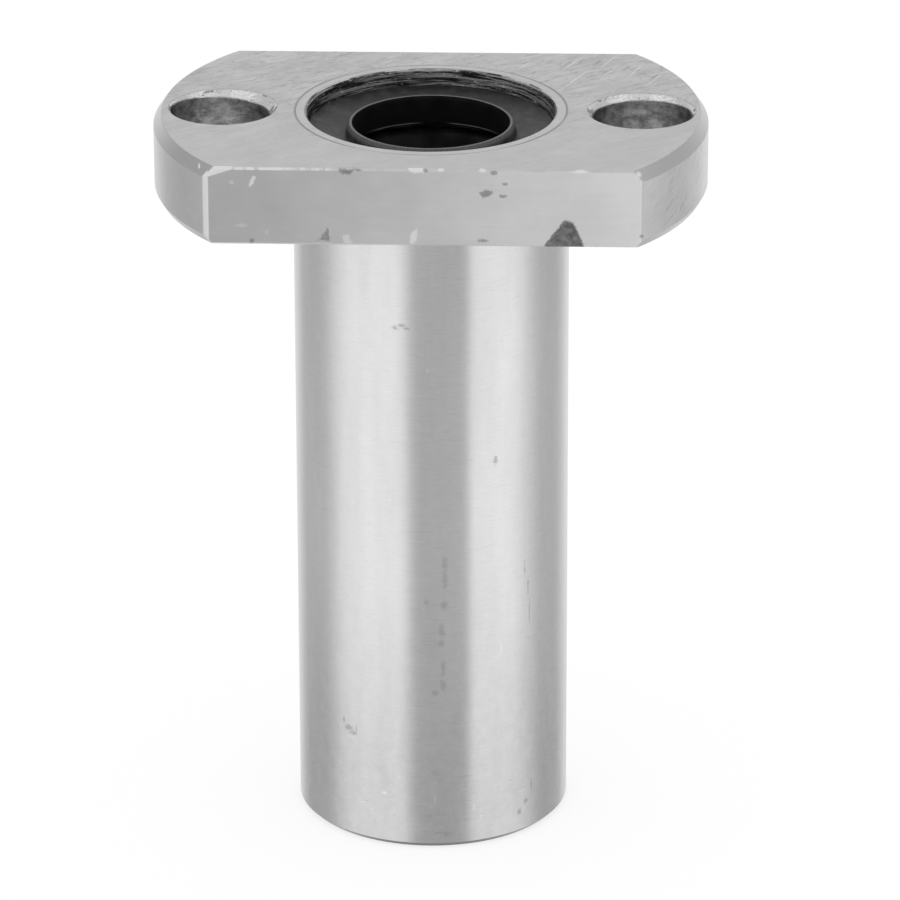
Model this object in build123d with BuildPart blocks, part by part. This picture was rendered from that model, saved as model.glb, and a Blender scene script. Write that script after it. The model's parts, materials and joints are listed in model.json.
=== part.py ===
from build123d import *
from math import asin, cos, isclose, pi, sin
import os

os.makedirs("parts", exist_ok=True)

# Oval flange linear bearing for a 12 mm shaft, long type, all sizes in millimetres.
# The tube stands on its plain end: Z is the shaft axis, the flange is at the top,
# its two bolt holes lie along X and its two milled flats face -Y and +Y.

# Driving sizes. Each ring of the bearing is built outwards from the shaft by its own
# wall or clearance, and each end inwards from the mouth by its own depth.
shaft_d = 12.0
length = 57.0

# Balls and the way they run: a loaded row between shaft and land, a half-turn at each
# end and a return row further out, all in one plane that leans against the radius
ball_d = 2.0
ball_play = 0.01
ball_gap = 0.03
circuits = 4
first_row_angle = 45.0
row_angle = 28.0
return_lift = 0.65
track_clearance = 0.05
# The moulded tracks have flat bevelled flanks, eight round the section
track_sides = 8

# Tube: the bore steps outwards from the lands to the relief, the seal seat and the
# outside, which comes to 21 mm across
land_width = 3.6
relief_clearance = 0.1
seal_shoulder = 0.65
sleeve_wall = 1.1
spigot_step = 0.2
mouth_chamfer = 0.2
foot_chamfer = 0.4
joint_edge_break = 0.1

# Seals, inwards from the mouth
lip_depth = 1.0
lip_land = 0.3
lip_height = 0.85
lip_thickness = 0.32
lip_bevel = 0.12
lip_base_thickness = 0.5
seal_edge_drop = 0.25
seal_edge_round = 0.15
seal_web = 1.75
seal_inner_flare = 0.3

# Snap rings and their grooves
groove_wall = 0.4
groove_width = 1.0
groove_bite = 0.6
ring_thickness = 0.9
ring_slack = 0.05
ring_overhang = 0.65
ring_gap = 5.0

# Ball cages
cage_shaft_gap = 0.2
cage_clearance = 0.15
cage_end_wall = 1.0
cage_inner_wall = 0.9
cage_split_gap = 0.2
cage_chamfer = 0.2
collar_play = 0.05
nose_ring_gap = 0.4
nose_seal_gap = 0.55

# Flange: the bolt circle, rim and flats are set outwards from the tube and come to
# 32 mm between bolts, 42 mm across the round ends and 27 mm across the flats
bolt_offset = 5.5
bolt_edge = 5.0
flat_margin = 3.0
rim_bevel_height = 0.85
rim_bevel_width = 0.6
seat_bevel_height = 0.6
seat_bevel_width = 0.35
flat_edge_break = 0.15
corner_break = 0.12

# Bolt holes: clearance holes for M4 screws with sunk heads, 6 mm of flange in all
bolt_hole_d = 4.5
head_bore_d = 7.5
head_bore_depth = 4.1
bolt_floor = 1.9
bolt_hole_break = 0.25
# The head bores were flared by hand, so each flare sits a little off its hole
head_flare = 0.4
head_flare_offsets = {-1: (0.22, 0.14), 1: (-0.07, 0.08)}

# Radii that follow from the shaft
shaft_r = shaft_d / 2
ball_r = ball_d / 2
track_r = ball_r + track_clearance
load_row_r = shaft_r + ball_r
land_r = shaft_r + ball_d + ball_play
return_row_r = load_row_r + return_lift
relief_r = return_row_r + ball_r + relief_clearance
seal_bore_r = relief_r + seal_shoulder
groove_r = relief_r + groove_bite
sleeve_r = seal_bore_r + sleeve_wall
spigot_r = sleeve_r - spigot_step
ring_bore_r = relief_r - ring_overhang
cage_r = relief_r - cage_clearance
cage_bore_r = shaft_r + cage_shaft_gap
nose_r = ring_bore_r - nose_ring_gap
flute_floor_r = land_r - cage_clearance
flute_width = land_width + 2 * cage_clearance

# Depths from the mouth of either end
seal_edge_depth = lip_depth + seal_edge_drop
seal_dish_depth = lip_depth + lip_height
seal_depth = seal_dish_depth + seal_web
groove_start = seal_depth + groove_wall
groove_end = groove_start + groove_width
middle = length / 2
cage_start = groove_end + collar_play
cage_end = middle - cage_split_gap / 2
nose_start = seal_depth + nose_seal_gap

# The loop of ball centres is a slot outline: two rows joined by half circles
load_point = Vector(load_row_r, 0)
return_point = Vector(return_row_r, 0).rotate(Axis.Z, row_angle)
chord = return_point - load_point
turn_r = chord.length / 2
loop_start = cage_start + cage_end_wall + track_r
loop_end = cage_end - cage_inner_wall - track_r
row_length = loop_end - loop_start - 2 * turn_r
row_start = loop_start + turn_r
row_end = row_start + row_length
loop_length = 2 * row_length + 2 * pi * turn_r
turn_step = 2 * turn_r * asin((ball_d + ball_gap) / (2 * turn_r))
balls_per_circuit = int(loop_length / turn_step)
row_angles = [first_row_angle + turn * 360 / circuits for turn in range(circuits)]
land_ramp = relief_r - land_r

# Flange sizes
flange_thickness = head_bore_depth + bolt_floor
seat_z = length - flange_thickness
bolt_x = sleeve_r + bolt_offset
flange_r = bolt_x + bolt_edge
flat_y = sleeve_r + flat_margin

# Each end of the bearing is modelled from its own end plane, whose Z points inwards
end_planes = {
    "lower": Plane(origin=(0, 0, 0), x_dir=(1, 0, 0), z_dir=(0, 0, 1)),
    "upper": Plane(origin=(0, 0, length), x_dir=(1, 0, 0), z_dir=(0, 0, -1)),
}


# The round edges of a part that have a given radius
def round_edges(part, radius):
    circles = part.edges().filter_by(GeomType.CIRCLE)
    return circles.filter_by(lambda edge: isclose(edge.radius, radius, abs_tol=1e-6))


# The half-plane through the axis where an end's turned profiles are drawn: X is the
# radius and Y the depth from that end
def profile_plane(end_plane):
    side = end_plane.x_dir.cross(end_plane.z_dir)
    return Plane(origin=end_plane.origin, x_dir=end_plane.x_dir, z_dir=side)


# The plane of one ball circuit: X runs from the loaded row to the return row, Y goes
# deeper into the bearing and the normal points outwards
def circuit_plane(end_plane, angle):
    centre = (load_point + return_point) / 2
    centre = centre.rotate(Axis.Z, angle) + Vector(0, 0, (loop_start + loop_end) / 2)
    across = chord.rotate(Axis.Z, angle)
    local = Plane(origin=centre, x_dir=across, z_dir=across.cross(Vector(0, 0, 1)))
    return Plane(end_plane.location * local.location)


# A ball centre in the circuit plane, at a distance along the loop that starts where
# the return row does and goes round by the loaded row
def ball_centre(travel):
    half_turn = pi * turn_r
    if travel < row_length:
        return (turn_r, travel - row_length / 2)
    travel -= row_length
    if travel < half_turn:
        swing = travel / turn_r
        return (turn_r * cos(swing), row_length / 2 + turn_r * sin(swing))
    travel -= half_turn
    if travel < row_length:
        return (-turn_r, row_length / 2 - travel)
    swing = (travel - row_length) / turn_r
    return (-turn_r * cos(swing), -row_length / 2 - turn_r * sin(swing))


# Flange: a turned disc with steep bevels on its two rims, milled to two flats and pressed
# on to the tube's spigot, down to its bevelled shoulder
with BuildPart() as flange:
    with BuildSketch(Plane.XZ):
        with BuildLine():
            Polyline(
                (0, seat_z),
                (flange_r - seat_bevel_width, seat_z),
                (flange_r, seat_z + seat_bevel_height),
                (flange_r, length - rim_bevel_height),
                (flange_r - rim_bevel_width, length),
                (0, length),
                close=True,
            )
        make_face()
    revolve(axis=Axis.Z)
    with BuildSketch(Plane.XY.offset(seat_z)):
        Rectangle(2 * flange_r, 2 * flat_y)
    extrude(amount=flange_thickness, mode=Mode.INTERSECT)
    chamfer(flange.edges().filter_by(Axis.Z), length=corner_break)
    chamfer(flange.edges().filter_by(Axis.X), length=flat_edge_break)

    with BuildSketch(Plane.XY.offset(seat_z)):
        Circle(spigot_r)
    extrude(amount=flange_thickness, mode=Mode.SUBTRACT)
    chamfer(round_edges(flange, spigot_r).sort_by(Axis.Z)[0], length=spigot_step)
    chamfer(round_edges(flange, spigot_r).sort_by(Axis.Z)[-1], length=joint_edge_break)

    with Locations(Plane.XY.offset(length)):
        with GridLocations(2 * bolt_x, 0, 2, 1):
            CounterBoreHole(
                radius=bolt_hole_d / 2,
                counter_bore_radius=head_bore_d / 2,
                counter_bore_depth=head_bore_depth,
            )
    bolt_edges = round_edges(flange, bolt_hole_d / 2)
    chamfer(bolt_edges.group_by(Axis.Z)[0], length=bolt_hole_break)
    for side, (offset_x, offset_y) in head_flare_offsets.items():
        with Locations((side * bolt_x + offset_x, offset_y, length)):
            Cone(
                bottom_radius=head_bore_d / 2 - head_flare,
                top_radius=head_bore_d / 2 + head_flare,
                height=2 * head_flare,
                align=(Align.CENTER, Align.CENTER, Align.MAX),
                mode=Mode.SUBTRACT,
            )

flange.part.label = "flange"
export_step(flange.part, "parts/flange.step")

# Outer sleeve: half of the turned profile, mirrored, with lands left standing between
# broached reliefs and a spigot with a bevelled shoulder turned down for the flange
half_profile = [
    (sleeve_r, 0),
    (sleeve_r, middle),
    (relief_r, middle),
    (relief_r, row_end + land_ramp),
    (land_r, row_end),
    (land_r, row_start),
    (relief_r, row_start - land_ramp),
    (relief_r, groove_end),
    (groove_r, groove_end),
    (groove_r, groove_start),
    (relief_r, groove_start),
    (relief_r, seal_depth),
    (seal_bore_r, seal_depth),
    (seal_bore_r, mouth_chamfer),
    (seal_bore_r + mouth_chamfer, 0),
]
with BuildPart() as outer_sleeve:
    with BuildSketch(profile_plane(end_planes["lower"])):
        with BuildLine():
            Polyline(*half_profile, close=True)
        make_face()
    revolve(axis=Axis.Z)
    mirror(about=Plane.XY.offset(middle))
    with BuildSketch(Plane.XY.offset(row_start - land_ramp)):
        Circle(relief_r)
        with PolarLocations(0, circuits, start_angle=first_row_angle):
            Rectangle(
                sleeve_r,
                land_width,
                align=(Align.MIN, Align.CENTER),
                mode=Mode.SUBTRACT,
            )
    extrude(amount=length - 2 * (row_start - land_ramp), mode=Mode.SUBTRACT)
    with BuildSketch(profile_plane(end_planes["lower"])):
        with BuildLine():
            Polyline(
                (sleeve_r, seat_z),
                (spigot_r, seat_z + spigot_step),
                (spigot_r, length),
                (sleeve_r, length),
                close=True,
            )
        make_face()
    revolve(axis=Axis.Z, mode=Mode.SUBTRACT)
    chamfer(round_edges(outer_sleeve, sleeve_r).sort_by(Axis.Z)[0], length=foot_chamfer)
    chamfer(round_edges(outer_sleeve, spigot_r).sort_by(Axis.Z)[-1], length=joint_edge_break)

outer_sleeve.part.label = "outer_sleeve"
export_step(outer_sleeve.part, "parts/outer_sleeve.step")

# What each end holds, from its mouth inwards
seal_profile = [
    (shaft_r, lip_depth),
    (shaft_r + lip_thickness - lip_bevel, lip_depth),
    (shaft_r + lip_thickness, lip_depth + 2 * lip_bevel),
    (shaft_r + lip_base_thickness, seal_dish_depth),
    (seal_bore_r - seal_edge_round, seal_edge_depth),
    (seal_bore_r, seal_edge_depth + seal_edge_round),
    (seal_bore_r, seal_depth),
    (shaft_r + 2 * seal_inner_flare, seal_depth),
    (shaft_r + seal_inner_flare, seal_depth - seal_inner_flare),
    (shaft_r, lip_depth + lip_land),
]
for end, end_plane in end_planes.items():
    turned = profile_plane(end_plane)

    # Seal: a dished rubber plate with a raised lip that wipes the shaft
    with BuildPart() as seal:
        with BuildSketch(turned):
            with BuildLine():
                Polyline(*seal_profile, close=True)
            make_face()
        revolve(axis=Axis.Z)
    seal.part.label = f"{end}_seal"
    export_step(seal.part, f"parts/{end}_seal.step")

    # Snap ring: an open ring that springs into the groove and stops the cage
    with BuildPart() as snap_ring:
        ring_start = groove_start + (groove_width - ring_thickness) / 2
        with BuildSketch(end_plane.offset(ring_start)):
            Circle(groove_r - ring_slack)
            Circle(ring_bore_r, mode=Mode.SUBTRACT)
            Rectangle(
                sleeve_r,
                ring_gap,
                align=(Align.MIN, Align.CENTER),
                mode=Mode.SUBTRACT,
            )
        extrude(amount=ring_thickness)
    snap_ring.part.label = f"{end}_snap_ring"
    export_step(snap_ring.part, f"parts/{end}_snap_ring.step")

    # Cage: a moulded tube with a collar behind the snap ring, fluted to pass between
    # the lands, with a track for each ball circuit that opens outwards
    cage_profile = [
        (cage_bore_r, nose_start),
        (nose_r, nose_start),
        (nose_r, cage_start),
        (cage_r - cage_chamfer, cage_start),
        (cage_r, cage_start + cage_chamfer),
        (cage_r, cage_end - cage_chamfer),
        (cage_r - cage_chamfer, cage_end),
        (cage_bore_r, cage_end),
    ]
    with BuildPart() as cage:
        with BuildSketch(turned):
            with BuildLine():
                Polyline(*cage_profile, close=True)
            make_face()
        revolve(axis=Axis.Z)
        with BuildSketch(end_plane.offset(cage_end)):
            with PolarLocations(0, circuits, start_angle=first_row_angle):
                Rectangle(sleeve_r, flute_width, align=(Align.MIN, Align.CENTER))
            Circle(flute_floor_r, mode=Mode.SUBTRACT)
        flute_length = cage_end - cage_start - cage_end_wall
        extrude(amount=-flute_length, mode=Mode.SUBTRACT)
        for angle in row_angles:
            track = circuit_plane(end_plane, angle)
            with BuildSketch(track):
                SlotCenterToCenter(row_length, 2 * (turn_r + track_r), rotation=90)
                SlotCenterToCenter(
                    row_length,
                    2 * (turn_r - track_r),
                    rotation=90,
                    mode=Mode.SUBTRACT,
                )
            extrude(amount=cage_r, mode=Mode.SUBTRACT)
            with BuildLine(track) as loop:
                rows = [
                    Line((side * turn_r, -row_length / 2), (side * turn_r, row_length / 2))
                    for side in (-1, 1)
                ]
                CenterArc((0, row_length / 2), turn_r, 0, 180)
                CenterArc((0, -row_length / 2), turn_r, 180, 180)
            with BuildSketch(Plane(origin=rows[0] @ 0, z_dir=rows[0] % 0)):
                RegularPolygon(
                    track_r,
                    track_sides,
                    major_radius=False,
                    rotation=180 / track_sides,
                )
            sweep(path=loop.wire(), mode=Mode.SUBTRACT)
    cage.part.label = f"{end}_cage"
    export_step(cage.part, f"parts/{end}_cage.step")

    # Balls: each circuit is filled to less than one ball short
    for number, angle in enumerate(row_angles, start=1):
        step = loop_length / balls_per_circuit
        centres = [ball_centre(step * ball) for ball in range(balls_per_circuit)]
        with BuildPart() as balls:
            with Locations(circuit_plane(end_plane, angle)):
                with Locations(*centres):
                    Sphere(ball_r)
        balls.part.label = f"{end}_balls_{number}"
        export_step(balls.part, f"parts/{end}_balls_{number}.step")
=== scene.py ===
import json
import math

import bpy
from mathutils import Matrix, Vector

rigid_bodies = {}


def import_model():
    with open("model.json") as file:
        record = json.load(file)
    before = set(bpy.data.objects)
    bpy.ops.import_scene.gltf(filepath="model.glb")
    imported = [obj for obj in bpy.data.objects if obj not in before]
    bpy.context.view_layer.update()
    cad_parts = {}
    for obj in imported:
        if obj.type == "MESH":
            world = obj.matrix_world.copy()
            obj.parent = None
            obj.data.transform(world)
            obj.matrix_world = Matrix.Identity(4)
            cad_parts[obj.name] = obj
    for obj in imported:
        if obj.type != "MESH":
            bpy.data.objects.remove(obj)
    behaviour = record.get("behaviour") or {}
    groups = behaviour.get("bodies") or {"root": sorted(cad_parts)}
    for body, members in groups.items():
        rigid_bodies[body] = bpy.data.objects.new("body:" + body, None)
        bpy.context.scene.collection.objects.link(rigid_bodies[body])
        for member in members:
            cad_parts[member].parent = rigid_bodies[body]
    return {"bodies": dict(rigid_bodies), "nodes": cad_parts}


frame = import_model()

parts = frame["nodes"]
for thing in list(bpy.data.objects):  # Blender's own start-up cube, lamp and camera
    if thing not in parts.values() and thing not in frame["bodies"].values():
        bpy.data.objects.remove(thing)
bpy.context.view_layer.update()
print("bearing loaded,", len(parts), "parts")


# short hands for node trees: put adds a node and wires or sets its inputs, in order or by name
def wire(tree, node, slot, value):
    if isinstance(value, bpy.types.NodeSocket):
        tree.links.new(value, node.inputs[slot])
    elif value is not None:
        node.inputs[slot].default_value = value


def put(tree, kind, *wires, mode=None, **named):
    node = tree.nodes.new("ShaderNode" + kind)
    for key, value in (mode or {}).items():
        setattr(node, key, value)
    for slot, value in enumerate(wires):
        wire(tree, node, slot, value)
    for slot, value in named.items():
        wire(tree, node, slot, value)
    return node


def maths(tree, operation, *wires, clamp=False):
    mode = {"operation": operation, "use_clamp": clamp}
    return put(tree, "Math", *wires, mode=mode).outputs[0]


def times(tree, *values, clamp=False):
    product = values[0]
    for value in values[1:]:
        product = maths(tree, "MULTIPLY", product, value, clamp=clamp)
    return product


def plus(tree, first, second):
    return maths(tree, "ADD", first, second)


def minus(tree, first, second, clamp=False):
    return maths(tree, "SUBTRACT", first, second, clamp=clamp)


def absolute(tree, value):
    return maths(tree, "ABSOLUTE", value)


# the largest of several masks
def anyOf(tree, masks):
    total = masks[0]
    for other in masks[1:]:
        total = maths(tree, "MAXIMUM", total, other)
    return total


def vectorMaths(tree, operation, *wires):
    node = put(tree, "VectorMath", *wires, mode={"operation": operation})
    return node.outputs["Value"] if operation == "LENGTH" else node.outputs[0]


def alongX(tree, value):
    return put(tree, "CombineXYZ", value, 0.0, 0.0).outputs[0]


def split(tree, vector):
    node = put(tree, "SeparateXYZ", vector)
    return node.outputs[0], node.outputs[1], node.outputs[2]


def radiusFrom(tree, vector):
    return vectorMaths(tree, "LENGTH", vectorMaths(tree, "MULTIPLY", vector, (1.0, 1.0, 0.0)))


# value turned from low to high into toLow to toHigh, with soft or straight ends
def ramp(tree, value, low, high, toLow=0.0, toHigh=1.0, soft=True):
    mode = {"interpolation_type": "SMOOTHSTEP" if soft else "LINEAR"}
    return put(tree, "MapRange", value, low, high, toLow, toHigh, mode=mode).outputs[0]


# a pattern that swings round a half, turned into values from low to high
def spread(tree, pattern, low, high, start=0.3):
    return ramp(tree, pattern, start, 1.0 - start, low, high, soft=False)


def blendColour(tree, factor, first, second):
    node = tree.nodes.new("ShaderNodeMix")
    node.data_type = "RGBA"
    wire(tree, node, 0, factor)
    wire(tree, node, 6, first)
    wire(tree, node, 7, second)
    return node.outputs[2]


def blendValue(tree, factor, first, second):
    node = tree.nodes.new("ShaderNodeMix")
    wire(tree, node, 0, factor)
    wire(tree, node, 2, first)
    wire(tree, node, 3, second)
    return node.outputs[0]


def grey(value):
    return (value, value, value, 1.0)


def greyFrom(tree, value):
    return put(tree, "CombineColor", value, value, value).outputs[0]


# a plain grey laid over a colour through a mask
def tint(tree, colour, mask, level, amount=None):
    strength = mask if amount is None else times(tree, mask, amount)
    return blendColour(tree, strength, colour, grey(level))


def noise(tree, vector, scale, detail=2.0, roughness=0.5):
    node = put(tree, "TexNoise", Vector=vector, Scale=scale, Detail=detail, Roughness=roughness)
    return node.outputs[0]


def stretched(tree, vector, scale, turn=(0.0, 0.0, 0.0)):
    angles = tuple(math.radians(degrees) for degrees in turn)
    turned = put(tree, "Mapping", Vector=vector, Rotation=angles).outputs[0]
    return put(tree, "Mapping", Vector=turned, Scale=scale).outputs[0]


def newMaterial(name):
    material = bpy.data.materials.new(name)
    material.use_nodes = True
    tree = material.node_tree
    tree.nodes.clear()
    out = tree.nodes.new("ShaderNodeOutputMaterial")
    shader = tree.nodes.new("ShaderNodeBsdfPrincipled")
    tree.links.new(shader.outputs[0], out.inputs[0])
    place = put(tree, "TexCoord").outputs["Object"]
    millimetres = vectorMaths(tree, "MULTIPLY", place, (1000.0, 1000.0, 1000.0))
    return material, tree, shader, millimetres


def addBump(tree, shader, height, strength, distance):
    bump = put(tree, "Bump", Strength=strength, Distance=distance, Height=height)
    tree.links.new(bump.outputs[0], shader.inputs["Normal"])


def newGroup(name, inputs, outputs):
    tree = bpy.data.node_groups.new(name, "ShaderNodeTree")
    for label, value in inputs.items():
        kind = "NodeSocketVector" if isinstance(value, tuple) else "NodeSocketFloat"
        tree.interface.new_socket(label, in_out="INPUT", socket_type=kind).default_value = value
    for label in outputs:
        tree.interface.new_socket(label, in_out="OUTPUT", socket_type="NodeSocketFloat")
    inside = tree.nodes.new("NodeGroupInput")
    outside = tree.nodes.new("NodeGroupOutput")
    return tree, inside.outputs, outside.inputs


def useGroup(tree, group, **values):
    node = tree.nodes.new("ShaderNodeGroup")
    node.node_tree = group
    for slot, value in values.items():
        wire(tree, node, slot, value)
    return node.outputs


# shared effects

# fine lines left by a tool: thin across, long along, with an uneven strength
def makeToolLines():
    tree, given, made = newGroup(
        "toolLines",
        {"Vector": (0.0, 0.0, 0.0), "Fineness": 14.0, "Unevenness": 0.5},
        ["Lines"],
    )
    fine = noise(tree, given["Vector"], given["Fineness"], 3.0, 0.6)
    coarse = noise(tree, given["Vector"], 1.3, 2.0)
    patchy = ramp(tree, coarse, 0.35, 0.65, 1.0, 0.0)
    calm = times(tree, patchy, given["Unevenness"])
    swing = times(tree, minus(tree, fine, 0.5), minus(tree, 1.0, calm))
    tree.links.new(plus(tree, swing, 0.5), made["Lines"])
    return tree


# sparse single scratches along the vector's long axis
def makeScratches():
    tree, given, made = newGroup(
        "scratches",
        {"Vector": (0.0, 0.0, 0.0), "Scale": 1.0, "Amount": 0.5, "Thinness": 0.06},
        ["Mask"],
    )
    cells = noise(tree, given["Vector"], given["Scale"], 1.0)
    ridge = absolute(tree, minus(tree, cells, 0.5))
    line = ramp(tree, ridge, 0.0, given["Thinness"], 1.0, 0.0, soft=False)
    patches = noise(tree, given["Vector"], 0.7, 1.0)
    keep = minus(tree, patches, minus(tree, 1.0, given["Amount"]))
    keep = times(tree, keep, 8.0, clamp=True)
    tree.links.new(times(tree, line, keep), made["Mask"])
    return tree


# one nick, dent or spot with a ragged outline, at a place in millimetres
def makeMark():
    tree, given, made = newGroup(
        "mark",
        {
            "Vector": (0.0, 0.0, 0.0), "Place": (0.0, 0.0, 0.0), "Size": (1.0, 1.0, 1.0),
            "Ragged": 0.3, "Seed": 0.0, "Soft": 0.3,
        },
        ["Mask"],
    )
    away = vectorMaths(tree, "SUBTRACT", given["Vector"], given["Place"])
    away = vectorMaths(tree, "DIVIDE", away, given["Size"])
    shifted = vectorMaths(tree, "ADD", given["Vector"], alongX(tree, given["Seed"]))
    edge = noise(tree, shifted, 2.6, 5.0, 0.72)
    edge = times(tree, minus(tree, edge, 0.5), given["Ragged"])
    far = plus(tree, vectorMaths(tree, "LENGTH", away), times(tree, edge, 4.0))
    outer = 1.1  # where the mark has faded out, as a share of its half-size
    inner = minus(tree, outer, given["Soft"])
    tree.links.new(ramp(tree, far, inner, outer, 1.0, 0.0), made["Mask"])
    return tree


# a soft band between two values, such as a face between two heights
def makeBand():
    tree, given, made = newGroup(
        "band", {"Value": 0.0, "From": 0.0, "To": 1.0, "Soft": 0.05}, ["Mask"]
    )
    sides = []
    for limit, before, after in (("From", 0.0, 1.0), ("To", 1.0, 0.0)):
        start = minus(tree, given[limit], given["Soft"])
        end = plus(tree, given[limit], given["Soft"])
        sides.append(ramp(tree, given["Value"], start, end, before, after, soft=False))
    tree.links.new(times(tree, *sides), made["Mask"])
    return tree


toolLines = makeToolLines()
scratches = makeScratches()
mark = makeMark()
band = makeBand()
print("shared effects made")


def linesOfTool(tree, vector, unevenness, fineness=1.0):
    return useGroup(tree, toolLines, Vector=vector, Fineness=fineness, Unevenness=unevenness)["Lines"]


def singleScratches(tree, vector, amount, thinness):
    return useGroup(tree, scratches, Vector=vector, Scale=1.0, Amount=amount, Thinness=thinness)["Mask"]


def between(tree, value, low, high, soft):
    return useGroup(tree, band, Value=value, From=low, To=high, Soft=soft)["Mask"]


def markMask(tree, millimetres, marks, ragged, soft):
    seedStep = 7.3  # gives each mark its own outline
    masks = []
    for number, (place, size) in enumerate(marks):
        spot = useGroup(
            tree, mark, Vector=millimetres, Place=place, Size=size,
            Ragged=ragged, Seed=number * seedStep, Soft=soft,
        )
        masks.append(spot["Mask"])
    return anyOf(tree, masks)


# the inside of a convex outline on the front flat, its rim blurred and a little wavy
def outlineMask(tree, x, z, outline, soft, wobble):
    blurOutside = 0.08
    middleX = sum(point[0] for point in outline) / len(outline)
    middleZ = sum(point[1] for point in outline) / len(outline)
    depth = None
    for (fromX, fromZ), (toX, toZ) in zip(outline, outline[1:] + outline[:1]):
        length = math.hypot(toX - fromX, toZ - fromZ)
        acrossX = (fromZ - toZ) / length
        acrossZ = (toX - fromX) / length
        if (middleX - fromX) * acrossX + (middleZ - fromZ) * acrossZ < 0:
            acrossX = -acrossX
            acrossZ = -acrossZ
        side = plus(tree, times(tree, x, acrossX), times(tree, z, acrossZ))
        side = minus(tree, side, fromX * acrossX + fromZ * acrossZ)
        depth = side if depth is None else maths(tree, "MINIMUM", depth, side)
    return ramp(tree, plus(tree, depth, wobble), -blurOutside, soft - blurOutside)


def outlineMasks(tree, x, z, outlines, soft, wobble):
    masks = []
    for strength, outline in outlines:
        inside = outlineMask(tree, x, z, outline, soft, wobble)
        masks.append(times(tree, inside, strength))
    return anyOf(tree, masks)


# straight scratches between two places on a level face, x and y in mm
def scratchMask(tree, x, y, lines, width):
    masks = []
    for (fromX, fromY), (toX, toY) in lines:
        length = math.hypot(toX - fromX, toY - fromY)
        stepX = (toX - fromX) / length
        stepY = (toY - fromY) / length
        away = minus(tree, times(tree, y, stepX), times(tree, x, stepY))
        away = absolute(tree, minus(tree, away, fromY * stepX - fromX * stepY))
        along = plus(tree, times(tree, x, stepX), times(tree, y, stepY))
        along = minus(tree, along, fromX * stepX + fromY * stepY)
        reach = between(tree, along, 0.0, length, length * 0.3)
        masks.append(times(tree, reach, ramp(tree, away, width, width * 0.2)))
    return anyOf(tree, masks)


# camera, as the photograph was taken
cameraSettings = {
    "azimuth": 1.987, "elevation": 22.466, "roll": -0.136,  # degrees
    "distance": 0.4698, "target": (0.00138, 0.0, 0.029109),  # metres
    "lens": 242.78, "sensor": 36.0,  # millimetres
}


def makeCamera(settings):
    azimuth = math.radians(settings["azimuth"])
    elevation = math.radians(settings["elevation"])
    level = math.cos(elevation)
    back = Vector((math.sin(azimuth) * level, -math.cos(azimuth) * level, math.sin(elevation)))
    right = Vector((math.cos(azimuth), math.sin(azimuth), 0.0))
    roll = Matrix.Rotation(math.radians(settings["roll"]), 3, "Z")
    turn = Matrix((right, back.cross(right), back)).transposed() @ roll
    data = bpy.data.cameras.new("photoCamera")
    data.lens = settings["lens"]
    data.sensor_width = settings["sensor"]
    data.clip_start = 0.01
    data.clip_end = 20.0
    camera = bpy.data.objects.new("photoCamera", data)
    bpy.context.scene.collection.objects.link(camera)
    place = Vector(settings["target"]) + back * settings["distance"]
    camera.matrix_world = Matrix.Translation(place) @ turn.to_4x4()
    bpy.context.scene.camera = camera


makeCamera(cameraSettings)
print("camera set")


# studio: white floor, and a white room whose two tall soft boxes show only in reflections
studio = {
    "room": 0.92,  # the plain light level that lights the part
    # levels that reflections show
    "softBoxes": 1.07, "gap": 0.54, "sides": 0.57, "backWall": 0.97, "backFloor": 1.02, "ceiling": 0.75,
    # where each soft box begins and ends, in degrees round from the camera, each edge with its blur
    "leftBox": (-87.5, 20.0, -18.2, 8.0), "rightBox": (33.6, 3.4, 91.0, 21.0),
    "gapSpan": (-40.0, 60.0, 3.0),  # degrees round: begins, ends, blur
    "behind": (128.0, 167.0),  # degrees round
    "horizon": (-4.0, 4.0), "underCeiling": (52.0, 66.0),  # degrees up
    # the floor's paint and glow as seen, and the paint that throws light back on the part
    "floorGrey": 0.34, "floorGlow": 0.765, "floorBounce": 0.8,
    "floorSize": 4.0,  # metres
}


# 1 for rays of these kinds, 0 for all others
def raySeen(tree, kinds):
    rays = put(tree, "LightPath")
    return anyOf(tree, [rays.outputs["Is " + kind + " Ray"] for kind in kinds])


def makeRoom(settings):
    world = bpy.data.worlds.new("studio")
    bpy.context.scene.world = world
    world.use_nodes = True
    world.cycles.sampling_method = "NONE"
    tree = world.node_tree
    tree.nodes.clear()
    direction = put(tree, "TexCoord").outputs["Generated"]
    x, y, z = split(tree, direction)
    around = maths(tree, "DEGREES", maths(tree, "ARCTAN2", x, times(tree, y, -1.0)))
    height = maths(tree, "DEGREES", maths(tree, "ARCSINE", z))
    boxes = []
    for start, startBlur, end, endBlur in (settings["leftBox"], settings["rightBox"]):
        rise = ramp(tree, around, start - startBlur, start + startBlur)
        fall = ramp(tree, around, end - endBlur, end + endBlur, 1.0, 0.0)
        boxes.append(times(tree, rise, fall))
    gap = between(tree, around, *settings["gapSpan"])
    behind = ramp(tree, absolute(tree, around), *settings["behind"])
    aboveFloor = ramp(tree, height, *settings["horizon"])
    underCeiling = ramp(tree, height, *settings["underCeiling"])
    back = blendValue(tree, aboveFloor, settings["backFloor"], settings["backWall"])
    level = blendValue(tree, gap, settings["sides"], settings["gap"])
    level = blendValue(tree, behind, level, back)
    level = blendValue(tree, anyOf(tree, boxes), level, settings["softBoxes"])
    level = blendValue(tree, underCeiling, level, settings["ceiling"])
    level = blendValue(tree, raySeen(tree, ["Glossy"]), settings["room"], level)
    level = blendValue(tree, raySeen(tree, ["Camera", "Transmission"]), level, 1.0)
    background = put(tree, "Background", Strength=level)
    put(tree, "OutputWorld", background.outputs[0])


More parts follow.
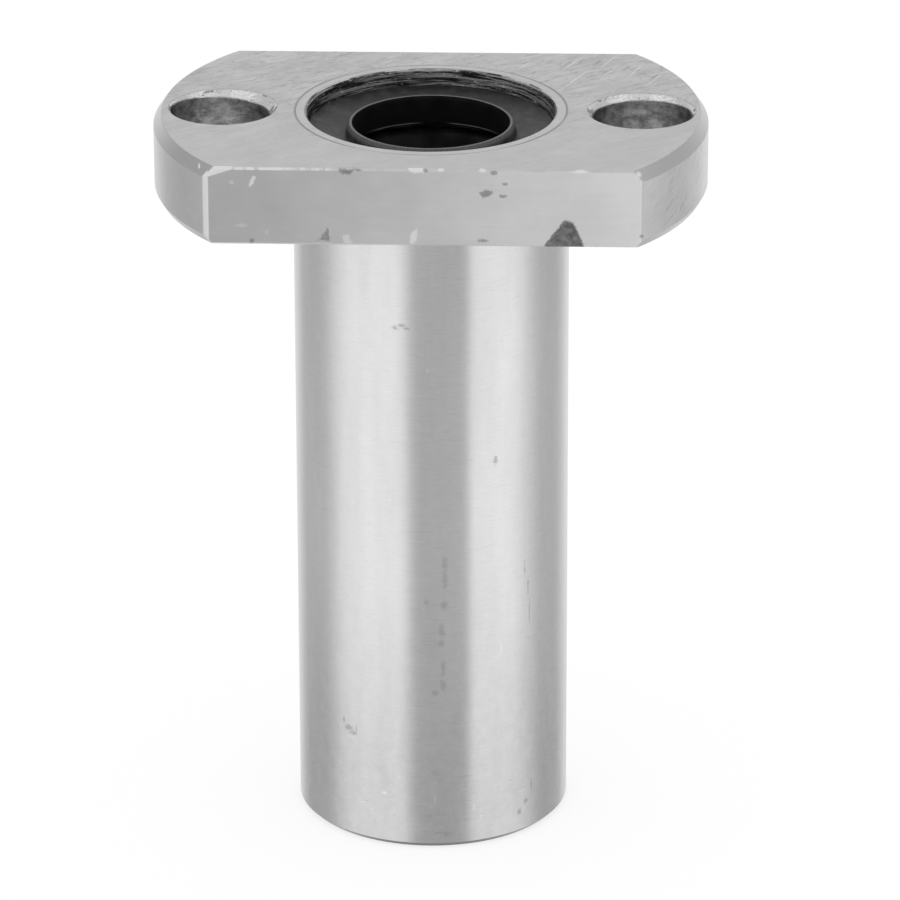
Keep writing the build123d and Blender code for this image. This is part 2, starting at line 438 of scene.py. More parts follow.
def makeFloor(settings):
    bpy.ops.object.select_all(action="DESELECT")
    bpy.ops.mesh.primitive_plane_add(size=settings["floorSize"], location=(0, 0, 0))
    floor = bpy.context.object
    floor.name = "floor"
    floor.visible_glossy = False
    material = bpy.data.materials.new("whiteFloor")
    material.use_nodes = True
    tree = material.node_tree
    tree.nodes.clear()
    seen = raySeen(tree, ["Camera", "Transmission", "Glossy"])
    paint = blendColour(tree, seen, grey(settings["floorBounce"]), grey(settings["floorGrey"]))
    paint = put(tree, "BsdfDiffuse", Color=paint)
    glow = put(tree, "Emission", Strength=times(tree, seen, settings["floorGlow"]))
    both = put(tree, "AddShader", paint.outputs[0], glow.outputs[0])
    put(tree, "OutputMaterial", both.outputs[0])
    floor.data.materials.append(material)


makeRoom(studio)
makeFloor(studio)
bpy.context.scene.view_settings.view_transform = "Standard"
print("studio lit")


# flange: bare steel plate, top ground crosswise, rims turned, edges knocked in the bin
flangeSteel = {
    # places in mm
    "top": 57.0, "seat": 51.0, "flat": 13.5, "rimRadius": 21.0, "bevel": (0.6, 0.85), "lowBevel": 0.6,
    "edgeBreak": 0.12, "boltX": 16.0, "boreRadius": 3.75, "flareWidth": 0.75, "joint": 10.4,
    "ends": (-17.0, 17.0),  # the greys change from the left end to the right one, through painted light that grows towards the right
    # greys
    "grey": 0.66, "frontGrey": 0.84, "rimGrey": 0.78, "chamferGrey": 0.75, "lowBevelGrey": 0.76,
    "edgeGrey": 0.8, "cornerGrey": 0.73, "jointShadeGrey": 0.58, "paintedHighlightGrey": 0.95,
    "boreGrey": (0.32, 0.97), "flareGrey": (0.34, 0.95), "chipGrey": (0.16, 0.42),
    # painted light: how far the flats and the rims are lightened, from the left end to the right one
    "flatPaintedLightToRight": (0.75, 1.2), "rimPaintedLightToRight": (0.98, 1.16),
    # how strong the clouds, the mottling and the ground lines are
    "clouds": (0.95, 1.05), "mottling": (0.88, 1.12),
    "topLines": 0.08, "flatLines": 0.05, "rimLines": 0.14,
    "roughness": 0.42, "rimRoughness": 0.3, "flatRoughness": (0.5, 0.6), "boreRoughness": 0.3,
    "shineRoughness": 0.24, "chipRoughness": 0.75,
    "flatLean": 0.135,  # how far the flat's right end seems to turn to the light, as a slope
    "torn": [  # the larger torn places on the front flat: how dark, and their outlines, x and z in mm
        (1.0, [(8.71, 50.9), (11.86, 50.9), (11.46, 52.09), (11.05, 52.95), (10.34, 53.12), (9.8, 52.5)]),
        (0.65, [(-7.95, 51.34), (-6.92, 51.26), (-7.11, 52.4)]),
        (0.65, [(4.02, 55.3), (4.5, 55.5), (5.1, 55.38), (4.84, 54.9), (4.2, 54.74)]),
        (0.75, [(-6.4, 56.98), (-5.1, 56.98), (-5.44, 56.58), (-6.05, 56.56)]),
    ],
    "polished": [  # small bruises painted bright as highlights, given in the same way
        (0.55, [(-6.1, 51.1), (-6.0, 51.82), (-5.6, 51.85), (-5.35, 51.1)]),
        (0.85, [(-1.12, 51.2), (-0.95, 52.15), (-0.5, 52.4), (-0.6, 51.5), (-0.8, 51.1)]),
        (1.0, [(-1.3, 57.1), (-0.1, 57.1), (-0.05, 56.78), (-0.9, 56.66)]),
        (0.85, [(-12.95, 55.75), (-12.62, 56.4), (-12.4, 56.35), (-12.55, 55.8), (-12.85, 55.6)]),
        (0.4, [(-14.36, 55.8), (-14.2, 56.02), (-14.04, 55.85), (-14.18, 55.66)]),
        (0.3, [(-14.1, 52.4), (-13.95, 52.6), (-13.05, 52.62), (-13.1, 52.42)]),
        (0.3, [(-11.8, 51.86), (-11.76, 52.1), (-11.6, 52.1), (-11.58, 51.84)]),
    ],
    "chips": [  # dark torn metal: place and half-size in mm
        ((5.95, -13.5, 55.93), (0.3, 0.5, 0.16)),
        ((5.8, -13.5, 54.96), (0.42, 0.5, 0.18)),
        ((-12.78, -13.5, 51.3), (0.22, 0.4, 0.24)),
        ((4.3, -13.5, 51.46), (0.5, 0.5, 0.18)),
        ((16.05, -13.5, 51.92), (0.24, 0.5, 0.16)),
        ((5.1, -13.5, 56.78), (0.36, 0.4, 0.2)),
        ((-4.9, -13.5, 56.92), (0.4, 0.4, 0.1)),
        ((-16.6, -12.3, 56.1), (0.16, 0.4, 0.26)),
        ((0.1, -13.5, 56.9), (0.24, 0.4, 0.14)),
    ],
    "paleScratches": [  # pale straight scratches on the top: from and to, x and y in mm
        ((9.90, 5.16), (11.61, 8.97)),
        ((12.90, 10.44), (13.81, 12.62)),
        ((15.00, 8.12), (15.91, 10.76)),
        ((10.06, 9.88), (10.95, 11.82)),
        ((16.39, 6.27), (17.30, 8.18)),
        ((13.15, 8.54), (13.91, 10.22)),
        ((6.51, 9.78), (7.25, 11.24)),
    ],
    "blackScratches": [  # dark ones, given in the same way
        ((9.82, 10.23), (10.49, 11.56)),
        ((10.97, 10.86), (11.34, 11.71)),
        ((12.21, 10.65), (12.66, 11.62)),
        ((14.45, 9.53), (14.99, 10.49)),
        ((7.50, 8.50), (7.72, 9.03)),
        ((16.69, 7.69), (17.15, 8.53)),
        ((13.45, 9.50), (13.68, 9.86)),
    ],
    "brightNicks": [  # knocks painted bright as highlights: place and half-size in mm
        ((-16.72, -12.2, 56.7), (0.12, 0.4, 0.26)),
        ((1.2, -13.45, 56.95), (0.3, 0.4, 0.16)),
        ((4.3, -13.45, 56.95), (0.34, 0.4, 0.16)),
        ((11.5, -13.45, 56.92), (0.8, 0.4, 0.14)),
        ((15.8, -13.45, 56.75), (0.3, 0.5, 0.3)),
    ],
}


def paintFlange(settings):
    material, tree, shader, millimetres = newMaterial("flangeSteel")
    x, y, z = split(tree, millimetres)
    top = settings["top"]
    seat = settings["seat"]
    flat = settings["flat"]
    left, right = settings["ends"]

    # faces: top, front and back flats, turned rims, chamfer, head bores and their flares
    onTop = ramp(tree, z, top - 0.03, top - 0.01)
    onFlat = ramp(tree, absolute(tree, y), flat - 0.03, flat - 0.01)
    offFlat = minus(tree, 1.0, onFlat)
    fromAxis = radiusFrom(tree, millimetres)
    bevelWidth, bevelHeight = settings["bevel"]
    bevelRadius = settings["rimRadius"] - bevelWidth
    onRim = times(tree, ramp(tree, fromAxis, bevelRadius, bevelRadius + 0.03), offFlat)
    onChamfer = times(tree, onRim, between(tree, z, top - bevelHeight, top - 0.02, 0.02))
    boltPlace = alongX(tree, times(tree, maths(tree, "SIGN", x), settings["boltX"]))
    boltAway = vectorMaths(tree, "SUBTRACT", millimetres, boltPlace)
    boltRadius = radiusFrom(tree, boltAway)
    belowTop = between(tree, z, seat + 0.02, top - 0.03, 0.01)
    bore = settings["boreRadius"]
    flare = bore + settings["flareWidth"]
    inBore = times(tree, ramp(tree, boltRadius, bore + 0.06, bore + 0.02), belowTop)
    nearBore = times(tree, ramp(tree, boltRadius, flare, flare - 0.05), belowTop)
    onFlare = minus(tree, nearBore, inBore, clamp=True)

    # cloudy grey, mottled at the back, with ground lines that cross the top at 45 degrees
    clouds = noise(tree, millimetres, 0.22, 4.0, 0.55)
    tone = spread(tree, clouds, *settings["clouds"])
    slanting = stretched(tree, millimetres, (0.5, 1.5, 1.0), (0.0, 0.0, -38.0))
    mottle = noise(tree, slanting, 0.8, 5.0, 0.65)
    mottled = spread(tree, mottle, *settings["mottling"])
    toBack = ramp(tree, y, -11.0, 8.0, 0.3, 1.0)
    tone = times(tree, tone, blendValue(tree, times(tree, onTop, toBack), 1.0, mottled))
    crosswise = stretched(tree, millimetres, (0.35, 9.0, 1.0), (0.0, 0.0, -45.0))
    flatwise = stretched(tree, millimetres, (0.25, 1.0, 6.0))
    roundwise = stretched(tree, millimetres, (0.6, 0.6, 4.4), (-32.0, 0.0, 0.0))
    lines = blendValue(
        tree, onTop, linesOfTool(tree, flatwise, 0.7), linesOfTool(tree, crosswise, 0.8)
    )
    lines = blendValue(tree, onRim, lines, linesOfTool(tree, roundwise, 0.4, 1.6))
    topStrength = times(tree, toBack, settings["topLines"])
    strength = blendValue(tree, onTop, settings["rimLines"], topStrength)
    strength = blendValue(tree, onFlat, strength, settings["flatLines"])
    lineTone = times(tree, minus(tree, lines, 0.5), times(tree, strength, 2.0))
    tone = times(tree, tone, plus(tree, 1.0, lineTone))
    body = blendValue(tree, onFlat, settings["grey"], settings["frontGrey"])
    body = blendValue(tree, onRim, body, settings["rimGrey"])
    # painted light: the flats and rims grow lighter towards the right-hand light, and the rim's far left
    # end is painted lighter too
    flatPaintedLightToRight = ramp(tree, x, left, right, *settings["flatPaintedLightToRight"], soft=False)
    rimPaintedLightToRight = ramp(tree, x, left, right, *settings["rimPaintedLightToRight"], soft=False)
    paintedLightFarLeft = ramp(tree, x, -19.4, -20.9, 1.0, 1.22)
    toRight = blendValue(tree, onRim, 1.0, times(tree, rimPaintedLightToRight, paintedLightFarLeft))
    toRight = blendValue(tree, onFlat, toRight, flatPaintedLightToRight)
    colour = greyFrom(tree, times(tree, body, toRight, tone))

    # chamfer, darkest at the front of the left end, then the lower bevel and the broken edges
    chamfer = settings["chamferGrey"]
    leftChamfer = blendColour(
        tree, ramp(tree, y, -4.0, -10.0), grey(chamfer + 0.06), grey(chamfer - 0.08)
    )
    bothChamfers = blendColour(tree, ramp(tree, x, -1.0, 1.0), leftChamfer, grey(chamfer))
    colour = blendColour(tree, onChamfer, colour, bothChamfers)
    bevelTop = seat + settings["lowBevel"]
    low = ramp(tree, z, bevelTop + 0.02, bevelTop - 0.02)
    colour = tint(tree, colour, times(tree, onRim, low), settings["lowBevelGrey"])
    edge = settings["edgeBreak"]
    edgeBreak = anyOf(tree, [
        ramp(tree, z, seat + edge + 0.03, seat + edge),
        ramp(tree, z, top - edge - 0.03, top - edge),
    ])
    outside = ramp(tree, absolute(tree, y), flat - edge - 0.04, flat - edge - 0.02)
    colour = tint(tree, colour, times(tree, edgeBreak, outside), settings["edgeGrey"])

    # slanted scratches and furrows on the right-hand rim, and painted shade in the joint with the tube
    onRight = times(tree, minus(tree, onRim, onChamfer), ramp(tree, x, 16.0, 18.0))
    slanted = stretched(tree, millimetres, (0.6, 0.35, 2.4), (-38.0, 0.0, 0.0))
    slanted = singleScratches(tree, slanted, 0.62, 0.05)
    furrows = stretched(tree, millimetres, (0.5, 0.4, 3.1), (-34.0, 0.0, 0.0))
    furrows = singleScratches(tree, furrows, 0.6, 0.05)
    colour = tint(tree, colour, slanted, 0.97, times(tree, onRight, 0.5))
    colour = tint(tree, colour, furrows, 0.4, times(tree, onRight, 0.3))
    # painted shade: a dark line in the joint with the tube
    jointShade = ramp(tree, fromAxis, settings["joint"] + 0.02, settings["joint"] - 0.01)
    jointShade = times(tree, jointShade, ramp(tree, z, top - 0.015, top - 0.03))
    colour = tint(tree, colour, jointShade, settings["jointShadeGrey"])

    # single scratches on the top, thickest at the back
    behindHole = ramp(tree, y, -9.0, 9.0, 0.25, 1.0)
    single = stretched(tree, millimetres, (0.2, 3.4, 1.0), (0.0, 0.0, -36.0))
    single = times(tree, singleScratches(tree, single, 0.6, 0.02), onTop, behindHole)
    dark = stretched(tree, millimetres, (0.5, 3.4, 1.0), (0.0, 0.0, -38.0))
    dark = times(tree, singleScratches(tree, dark, 0.6, 0.04), onTop, behindHole)
    colour = tint(tree, colour, single, 0.85, 0.45)
    colour = tint(tree, colour, dark, 0.3, 0.6)
    pale = times(tree, scratchMask(tree, x, y, settings["paleScratches"], 0.1), onTop)
    black = times(tree, scratchMask(tree, x, y, settings["blackScratches"], 0.12), onTop)
    colour = tint(tree, colour, pale, 0.95, 0.6)
    colour = tint(tree, colour, black, 0.2, 0.5)

    # head bores: turned walls with streaks, darker at the sides, and bright flares with dark flecks
    streaks = noise(tree, stretched(tree, millimetres, (1.0, 1.0, 1.5)), 1.0, 5.0, 0.7)
    boreTone = ramp(tree, streaks, 0.36, 0.64, *settings["boreGrey"], soft=False)
    sideways = absolute(tree, split(tree, boltAway)[0])
    boreTone = times(tree, boreTone, ramp(tree, sideways, 3.7, 2.2, 0.78, 1.02))
    colour = blendColour(tree, inBore, colour, greyFrom(tree, boreTone))
    flecks = noise(tree, stretched(tree, millimetres, (1.0, 1.0, 2.0)), 1.5, 3.0, 0.6)
    moreInFront = times(tree, ramp(tree, y, 1.6, 0.2), 0.17)
    flareTone = ramp(tree, minus(tree, flecks, moreInFront), 0.3, 0.42, *settings["flareGrey"])
    colour = blendColour(tree, onFlare, colour, greyFrom(tree, flareTone))

    # knocks along the front top edge, and the two upright corners at the front, painted bright as
    # highlights
    frontEdge = times(
        tree, ramp(tree, y, -flat + 0.3, -flat + 0.1), ramp(tree, z, top - 0.2, top - 0.12)
    )
    broken = noise(tree, stretched(tree, millimetres, (1.0, 0.2, 0.2)), 0.9, 3.0, 0.7)
    broken = ramp(tree, broken, 0.4, 0.52)
    knocks = times(tree, frontEdge, broken, ramp(tree, x, -6.6, -7.4, 0.2, 1.0))
    upright = between(tree, x, -16.42, -16.0, 0.06)
    upright = times(tree, upright, ramp(tree, y, -13.0, -13.08))
    dullCorner = times(tree, ramp(tree, x, 15.9, 15.98), offFlat)
    dullCorner = times(tree, dullCorner, ramp(tree, y, -13.36, -13.4))
    colour = tint(tree, colour, dullCorner, settings["cornerGrey"])
    # the top left corner of the flat is knocked down to a wedge, painted bright as a highlight
    wedge = minus(tree, times(tree, plus(tree, x, 16.1), 0.33), minus(tree, z, 56.25))
    wedge = times(tree, ramp(tree, wedge, 0.03, -0.03), ramp(tree, x, -14.0, -14.3))
    wedge = times(tree, wedge, ramp(tree, y, -13.1, -13.25))
    # bruises and nicks, with wavy outlines, painted bright as highlights
    wobble = noise(tree, millimetres, 2.2, 4.0, 0.6)
    wobble = times(tree, minus(tree, wobble, 0.5), 0.5)
    nearFront = ramp(tree, y, -flat + 0.4, -flat + 0.3)
    bruises = outlineMasks(tree, x, z, settings["polished"], 0.18, wobble)
    nicks = markMask(tree, millimetres, settings["brightNicks"], 0.4, 0.7)
    nicks = anyOf(tree, [nicks, times(tree, bruises, nearFront)])
    knocksWithPaintedHighlight = anyOf(tree, [knocks, nicks, wedge, upright])
    # painted highlight on the knocked and bruised places
    colour = tint(tree, colour, knocksWithPaintedHighlight, settings["paintedHighlightGrey"])

    # torn metal: ragged and dark
    chips = markMask(tree, millimetres, settings["chips"], 0.4, 0.7)
    torn = outlineMasks(tree, x, z, settings["torn"], 0.22, wobble)
    chips = anyOf(tree, [times(tree, chips, 0.55), times(tree, torn, nearFront)])
    rubble = noise(tree, millimetres, 2.2, 4.0, 0.65)
    chipTone = spread(tree, rubble, *settings["chipGrey"])
    colour = blendColour(tree, chips, colour, greyFrom(tree, chipTone))
    tree.links.new(colour, shader.inputs["Base Color"])

    rough = times(tree, spread(tree, lines, 0.9, 1.12, 0.2), settings["roughness"])
    rough = blendValue(tree, onRim, rough, settings["rimRoughness"])
    flatRough = ramp(tree, x, left, right, *settings["flatRoughness"], soft=False)
    flatRough = times(tree, flatRough, spread(tree, lines, 0.95, 1.05, 0.2))
    rough = blendValue(tree, onFlat, rough, flatRough)
    rough = blendValue(tree, inBore, rough, settings["boreRoughness"])
    rough = blendValue(tree, anyOf(tree, [upright, onFlare]), rough, settings["shineRoughness"])
    rough = blendValue(tree, chips, rough, settings["chipRoughness"])
    tree.links.new(rough, shader.inputs["Roughness"])

    # depth of each mark in millimetres
    lineDepth = blendValue(tree, onTop, 0.006, times(tree, toBack, 0.006))
    depth = times(tree, lines, lineDepth)
    depth = plus(tree, depth, times(tree, clouds, 0.02))
    depth = minus(tree, depth, times(tree, single, 0.006))
    depth = plus(tree, depth, times(tree, streaks, inBore, 0.06))
    depth = plus(tree, depth, times(tree, flecks, onFlare, 0.12))
    depth = plus(tree, depth, times(tree, mottle, onTop, 0.02))
    depth = minus(tree, depth, times(tree, chips, times(tree, rubble, 0.12)))
    bump = put(tree, "Bump", Strength=1.0, Distance=0.001, Height=depth)
    # the flat is shaded as if it leant more and more to the right-hand light
    lean = ramp(tree, x, left, right, 0.0, settings["flatLean"], soft=False)
    lean = alongX(tree, times(tree, onFlat, lean))
    toWorld = {"vector_type": "VECTOR", "convert_from": "OBJECT", "convert_to": "WORLD"}
    lean = put(tree, "VectorTransform", lean, mode=toWorld).outputs[0]
    leaning = vectorMaths(tree, "NORMALIZE", vectorMaths(tree, "ADD", bump.outputs[0], lean))
    tree.links.new(leaning, shader.inputs["Normal"])
    # the knocked places are made matte, so their painted highlight looks bright from every side
    bruised = anyOf(tree, [knocksWithPaintedHighlight, dullCorner])
    tree.links.new(minus(tree, 1.0, bruised), shader.inputs["Metallic"])
    return material


# tube: hardened and ground, fine lines round it, a few knocks; the mouth is rough turned
sleeveSteel = {
    # places in mm
    "length": 57.0, "mouthRadius": 9.62, "spigot": 10.2, "footChamfer": (10.1, 0.4),
    # greys
    "grey": 0.88, "endGrey": 0.67, "edgeGrey": 0.98, "footReflectionGrey": 0.13, "jointShadeGrey": 0.58,
    "streakGrey": (0.03, 0.52), "footShade": 0.84, "headShade": 0.965,
    "roughness": 0.2, "mouthRoughness": 0.4,
    "darkMarks": [  # dark spots on the tube: place and half-size in mm
        ((-2.35, -10.23, 43.2), (0.3, 0.6, 0.26)),
        ((-1.95, -10.31, 43.42), (0.5, 0.6, 0.18)),
        ((-1.5, -10.39, 43.2), (0.3, 0.6, 0.12)),
        ((1.34, -10.41, 24.0), (0.3, 0.5, 0.7)),
        ((1.34, -10.41, 22.6), (0.26, 0.5, 0.9)),
        ((1.3, -10.41, 20.6), (0.34, 0.5, 0.5)),
        ((1.1, -10.44, 18.4), (0.3, 0.5, 0.7)),
        ((1.05, -10.44, 17.4), (0.34, 0.5, 0.34)),
        ((1.16, -10.44, 15.4), (0.2, 0.5, 0.8)),
        ((1.16, -10.44, 13.9), (0.32, 0.5, 0.6)),
        ((-0.12, -10.5, 20.9), (0.32, 0.5, 0.42)),
        ((0.55, -10.49, 13.2), (0.3, 0.5, 0.28)),
        ((1.5, -10.4, 1.2), (0.5, 0.5, 0.22)),
        ((0.9, -10.44, 1.28), (0.5, 0.5, 0.1)),
        ((5.15, -9.15, 32.1), (0.2, 0.5, 0.5)),
        ((-6.2, -8.47, 9.3), (0.4, 0.5, 0.32)),
        ((-5.85, -8.72, 8.95), (0.36, 0.5, 0.26)),
        ((-5.6, -8.88, 9.3), (0.08, 0.5, 0.4)),
        ((-6.6, -8.17, 9.8), (0.12, 0.5, 0.3)),
        ((7.35, -7.5, 22.4), (0.08, 0.5, 0.7)),
        ((7.6, -7.25, 20.9), (0.06, 0.5, 1.0)),
        ((7.7, -7.14, 18.7), (0.06, 0.5, 1.2)),
        ((7.9, -6.92, 3.9), (0.1, 0.5, 0.8)),
        ((7.5, -7.35, 2.7), (0.22, 0.5, 0.3)),
        ((7.0, -7.83, 2.0), (0.2, 0.5, 0.36)),
    ],
    "brightMarks": [  # bright spots, given in the same way
        ((0.08, -10.5, 39.9), (0.16, 0.5, 0.36)),
        ((0.5, -10.49, 4.2), (0.1, 0.5, 0.4)),
        ((5.6, -8.9, 16.4), (0.1, 0.6, 0.6)),
        ((-3.4, -9.93, 4.4), (0.3, 0.6, 0.2)),
        ((3.5, -9.9, 3.2), (0.16, 0.6, 0.3)),
    ],
}


def paintSleeve(settings):
    material, tree, shader, millimetres = newMaterial("sleeveSteel")
    height = split(tree, millimetres)[2]
    radius = radiusFrom(tree, millimetres)
    mouth = settings["mouthRadius"]
    length = settings["length"]
    onEnd = ramp(tree, height, length - 0.03, length - 0.01)
    inMouth = ramp(tree, radius, mouth + 0.02, mouth - 0.02)
    inMouth = times(tree, inMouth, minus(tree, 1.0, onEnd))

    # grinding lines round the tube, small ticks, and smears along it
    lines = linesOfTool(tree, stretched(tree, millimetres, (1.1, 1.1, 14.0)), 0.6)
    ticks = singleScratches(tree, stretched(tree, millimetres, (0.5, 0.5, 7.0)), 0.5, 0.02)
    smear = noise(tree, stretched(tree, millimetres, (1.0, 1.0, 0.12)), 0.5, 3.0)
    tone = times(tree, spread(tree, smear, 0.96, 1.04), spread(tree, lines, 0.95, 1.05, 0.2))
    # handling smears towards the foot; painted shade darkens the tube towards the foot, where it mirrors
    # the floor's shadow, and a little just below the flange
    handled = noise(tree, stretched(tree, millimetres, (1.3, 1.3, 1.0)), 0.9, 5.0, 0.65)
    toFoot = ramp(tree, height, 24.0, 2.0, 0.35, 1.0)
    tone = times(tree, tone, blendValue(tree, toFoot, 1.0, spread(tree, handled, 0.95, 1.05)))
    # painted shade towards the foot and just below the flange
    foot = ramp(tree, height, 1.0, 26.0, settings["footShade"], 1.0)
    head = ramp(tree, height, 38.0, 51.0, 1.0, settings["headShade"])
    tone = times(tree, tone, times(tree, foot, head))
    body = times(tree, tone, blendValue(tree, onEnd, settings["grey"], settings["endGrey"]))
    colour = tint(tree, greyFrom(tree, body), ticks, 0.3, 0.16)

    # the mouth: dark, with streaks, specks painted light as glints, and a painted highlight along its
    # edge in places
    streaks = noise(tree, stretched(tree, millimetres, (0.22, 0.22, 5.0)), 1.2, 5.0, 0.72)
    mouthTone = ramp(tree, streaks, 0.43, 0.59, *settings["streakGrey"])
    specks = noise(tree, stretched(tree, millimetres, (2.2, 2.2, 9.0)), 1.0, 2.0)
    mouthTone = plus(tree, mouthTone, ramp(tree, specks, 0.62, 0.72, 0.0, 0.5))
    # painted highlight: the mouth's edge is painted bright in broken places
    onEdge = between(tree, radius, mouth - 0.1, mouth + 0.02, 0.02)
    onEdge = times(tree, onEdge, ramp(tree, height, length - 0.14, length - 0.08))
    brokenHighlight = ramp(tree, noise(tree, millimetres, 0.32, 3.0, 0.6), 0.5, 0.58)
    mouthTone = blendValue(tree, times(tree, onEdge, brokenHighlight), mouthTone, settings["edgeGrey"])
    colour = blendColour(tree, inMouth, colour, greyFrom(tree, mouthTone))

    dark = markMask(tree, millimetres, settings["darkMarks"], 0.65, 0.8)
    bright = markMask(tree, millimetres, settings["brightMarks"], 0.45, 0.8)
    colour = tint(tree, colour, dark, 0.3, 0.42)
    colour = tint(tree, colour, bright, 0.98, 0.5)
    # short dashes near the foot, where the tube was stood and knocked
    nearFoot = ramp(tree, height, 11.0, 4.0)
    pecked = noise(tree, stretched(tree, millimetres, (1.3, 1.3, 4.5)), 1.0, 2.0)
    pecked = ramp(tree, pecked, 0.66, 0.73)
    elsewhere = vectorMaths(tree, "ADD", millimetres, (31.0, 17.0, 5.0))
    rubbed = noise(tree, stretched(tree, elsewhere, (0.9, 0.9, 5.5)), 1.0, 2.0)
    rubbed = ramp(tree, rubbed, 0.66, 0.73)
    colour = tint(tree, colour, pecked, 0.97, times(tree, nearFoot, 0.3))
    colour = tint(tree, colour, rubbed, 0.3, times(tree, nearFoot, 0.24))
    # the foot chamfer is painted dark for the shadow it mirrors, a painted reflection, and the joint with
    # the flange is painted dark as shade
    chamferRadius, chamferHeight = settings["footChamfer"]
    onChamfer = times(
        tree,
        ramp(tree, height, chamferHeight + 0.02, chamferHeight - 0.02),
        ramp(tree, radius, chamferRadius - 0.02, chamferRadius + 0.02),
    )
    # painted reflection: the chamfer is darkened for the floor's shadow it mirrors
    colour = tint(tree, colour, onChamfer, settings["footReflectionGrey"])
    # painted shade: a dark line in the joint with the flange
    spigot = settings["spigot"]
    jointShade = times(
        tree,
        ramp(tree, radius, spigot, spigot + 0.02),
        between(tree, height, length - 1.0, length - 0.015, 0.01),
    )
    colour = tint(tree, colour, jointShade, settings["jointShadeGrey"])
    tree.links.new(colour, shader.inputs["Base Color"])

    rough = times(tree, spread(tree, lines, 0.85, 1.2, 0.2), settings["roughness"])
    rough = blendValue(tree, inMouth, rough, settings["mouthRoughness"])
    rough = blendValue(tree, anyOf(tree, [dark, onEnd]), rough, settings["mouthRoughness"])
    tree.links.new(rough, shader.inputs["Roughness"])

    depth = plus(tree, times(tree, lines, 0.0025), times(tree, streaks, inMouth, 0.16))
    addBump(tree, shader, depth, 1.0, 0.001)
    shader.inputs["Metallic"].default_value = 1.0
    return material


# seals: black rubber, satin where it was moulded, with a lip painted lighter, partly wear and partly a
# painted highlight
sealRubber = {
    "colour": (0.019, 0.019, 0.02, 1.0), "dust": (0.11, 0.11, 0.112, 1.0),
    "wall": (0.007, 0.007, 0.007, 1.0), "lip": (0.17, 0.17, 0.17, 1.0),
    "roughness": 0.42,
    "lipRadii": (6.03, 6.43), "middle": 28.5,  # mm, the middle at half the tube's length
    # painted highlights, thin glints on the far wall: from and to in height, from and to in |x|, all in
    # mm, and grey
    "paintedGlints": [(53.64, 53.74, 1.3, 4.6, 0.42), (53.4, 53.47, 1.6, 3.1, 0.16)],
}


def paintSeal(settings):
    material, tree, shader, millimetres = newMaterial("sealRubber")
    x, y, z = split(tree, millimetres)
    radius = radiusFrom(tree, millimetres)
    fromMiddle = absolute(tree, minus(tree, z, settings["middle"]))
    clouds = noise(tree, millimetres, 0.9, 4.0, 0.6)
    grain = noise(tree, millimetres, 9.0, 2.0)
    # dust in the dish, and painted shade towards the back in the shade of the tube's wall, where the dust
    # fades and the dish is painted darker
    dust = times(tree, ramp(tree, clouds, 0.42, 0.66, 0.0, 0.62), ramp(tree, y, 2.0, 7.0, 1.0, 0.4))
    # painted shade: the dish darkens towards the back
    toBack = ramp(tree, y, 3.0, 7.0, 0.0, 0.7)
    base = blendColour(tree, toBack, settings["colour"], settings["wall"])
    colour = blendColour(tree, dust, base, settings["dust"])
    # painted shade darkens the walls inside and below the lip, and two thin glints at the back are
    # painted highlights
    belowLip = times(tree, ramp(tree, radius, 6.62, 6.6), ramp(tree, fromMiddle, 27.47, 27.44))
    narrowing = times(tree, minus(tree, fromMiddle, 27.2), 0.12)
    inside = times(tree, belowLip, ramp(tree, plus(tree, radius, narrowing), 6.2, 6.15))
    colour = blendColour(tree, inside, colour, settings["wall"])
    atBack = times(tree, ramp(tree, y, 1.0, 2.0), ramp(tree, radius, 6.7, 6.66))
    sideways = absolute(tree, x)
    for low, high, near, far, level in settings["paintedGlints"]:
        line = between(tree, z, low, high, 0.015)
        reach = between(tree, sideways, near, far, 0.5)
        colour = tint(tree, colour, times(tree, line, reach), level, atBack)
    # the lip is painted lighter: partly wear, partly a painted highlight on its rounded rim
    onLip = between(tree, radius, *settings["lipRadii"], 0.015)
    onLip = times(tree, onLip, ramp(tree, fromMiddle, 27.0, 27.28))
    wornAndLitLip = times(tree, onLip, ramp(tree, grain, 0.3, 0.7, 0.5, 1.0))
    colour = blendColour(tree, wornAndLitLip, colour, settings["lip"])
    tree.links.new(colour, shader.inputs["Base Color"])
    rough = spread(tree, clouds, settings["roughness"] - 0.08, settings["roughness"] + 0.12)
    tree.links.new(rough, shader.inputs["Roughness"])
    addBump(tree, shader, grain, 0.5, 0.00002)
    return material


# snap rings: blackened spring steel
springSteel = {"grey": 0.2, "roughness": 0.35}


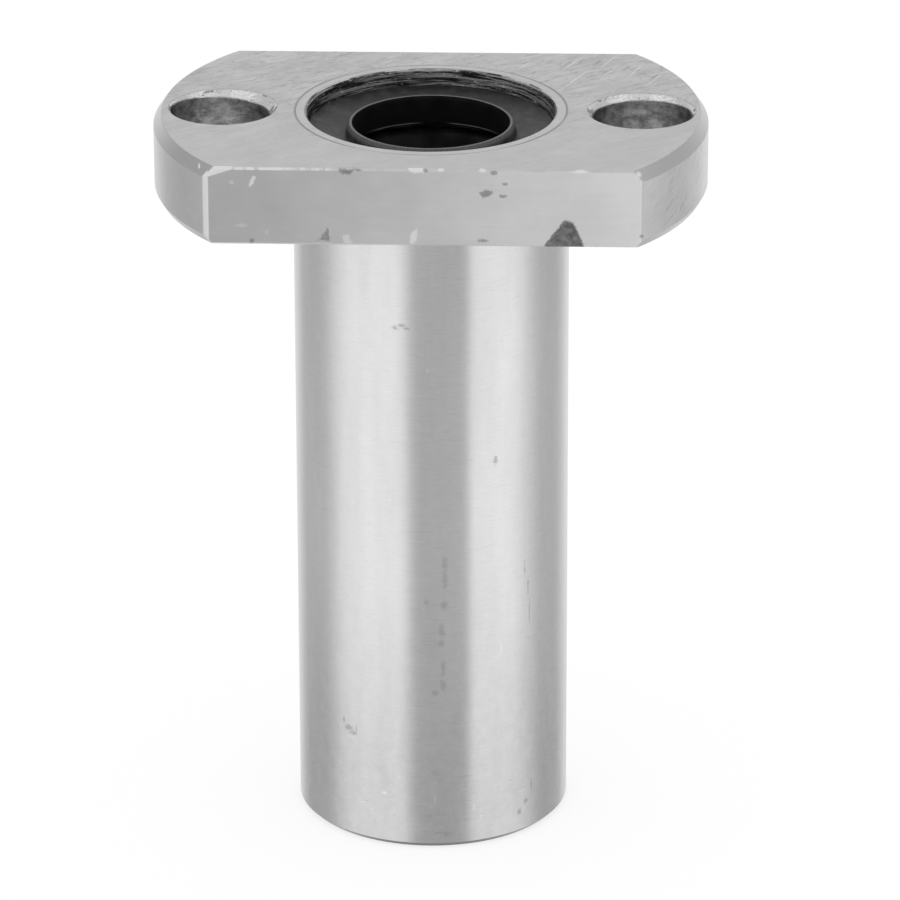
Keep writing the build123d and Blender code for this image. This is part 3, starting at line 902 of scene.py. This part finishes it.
def paintSpring(settings):
    material, tree, shader, millimetres = newMaterial("springSteel")
    oil = noise(tree, millimetres, 0.8, 4.0)
    stamped = noise(tree, stretched(tree, millimetres, (0.6, 0.6, 12.0)), 1.0, 3.0)
    tone = spread(tree, oil, settings["grey"] * 0.8, settings["grey"] * 1.3)
    colour = put(tree, "CombineColor", tone, tone, times(tree, tone, 1.06)).outputs[0]
    tree.links.new(colour, shader.inputs["Base Color"])
    rough = spread(tree, oil, settings["roughness"] - 0.1, settings["roughness"] + 0.1)
    tree.links.new(rough, shader.inputs["Roughness"])
    addBump(tree, shader, stamped, 0.6, 0.00001)
    shader.inputs["Metallic"].default_value = 1.0
    return material


# cages: dark moulded resin with a fine grain
cageResin = {"colour": (0.012, 0.012, 0.013, 1.0), "pale": (0.03, 0.03, 0.032, 1.0), "roughness": 0.5}


def paintCage(settings):
    material, tree, shader, millimetres = newMaterial("cageResin")
    grain = noise(tree, millimetres, 7.0, 3.0)
    clouds = noise(tree, millimetres, 0.7, 3.0)
    cloudy = ramp(tree, clouds, 0.35, 0.7)
    colour = blendColour(tree, cloudy, settings["colour"], settings["pale"])
    tree.links.new(colour, shader.inputs["Base Color"])
    rough = spread(tree, clouds, settings["roughness"] - 0.08, settings["roughness"] + 0.1)
    tree.links.new(rough, shader.inputs["Roughness"])
    addBump(tree, shader, grain, 0.5, 0.00003)
    return material


# balls: lapped steel with a film of oil
ballSteel = {"grey": 0.72, "roughness": 0.09}


def paintBalls(settings):
    material, tree, shader, millimetres = newMaterial("ballSteel")
    film = noise(tree, millimetres, 1.6, 3.0)
    tone = spread(tree, film, settings["grey"] * 0.92, settings["grey"] * 1.05)
    tree.links.new(greyFrom(tree, tone), shader.inputs["Base Color"])
    rough = spread(tree, film, settings["roughness"] * 0.7, settings["roughness"] * 1.6)
    tree.links.new(rough, shader.inputs["Roughness"])
    addBump(tree, shader, noise(tree, millimetres, 6.0, 2.0), 0.3, 0.000005)
    shader.inputs["Metallic"].default_value = 1.0
    return material


finishes = {
    "flange": paintFlange(flangeSteel),
    "outer_sleeve": paintSleeve(sleeveSteel),
    "seal": paintSeal(sealRubber),
    "snap_ring": paintSpring(springSteel),
    "cage": paintCage(cageResin),
    "balls": paintBalls(ballSteel),
}
for name, part in parts.items():
    for kind, finish in finishes.items():
        if kind in name:
            for materialSlot in part.material_slots:
                materialSlot.material = finish
print("finishes on all parts")
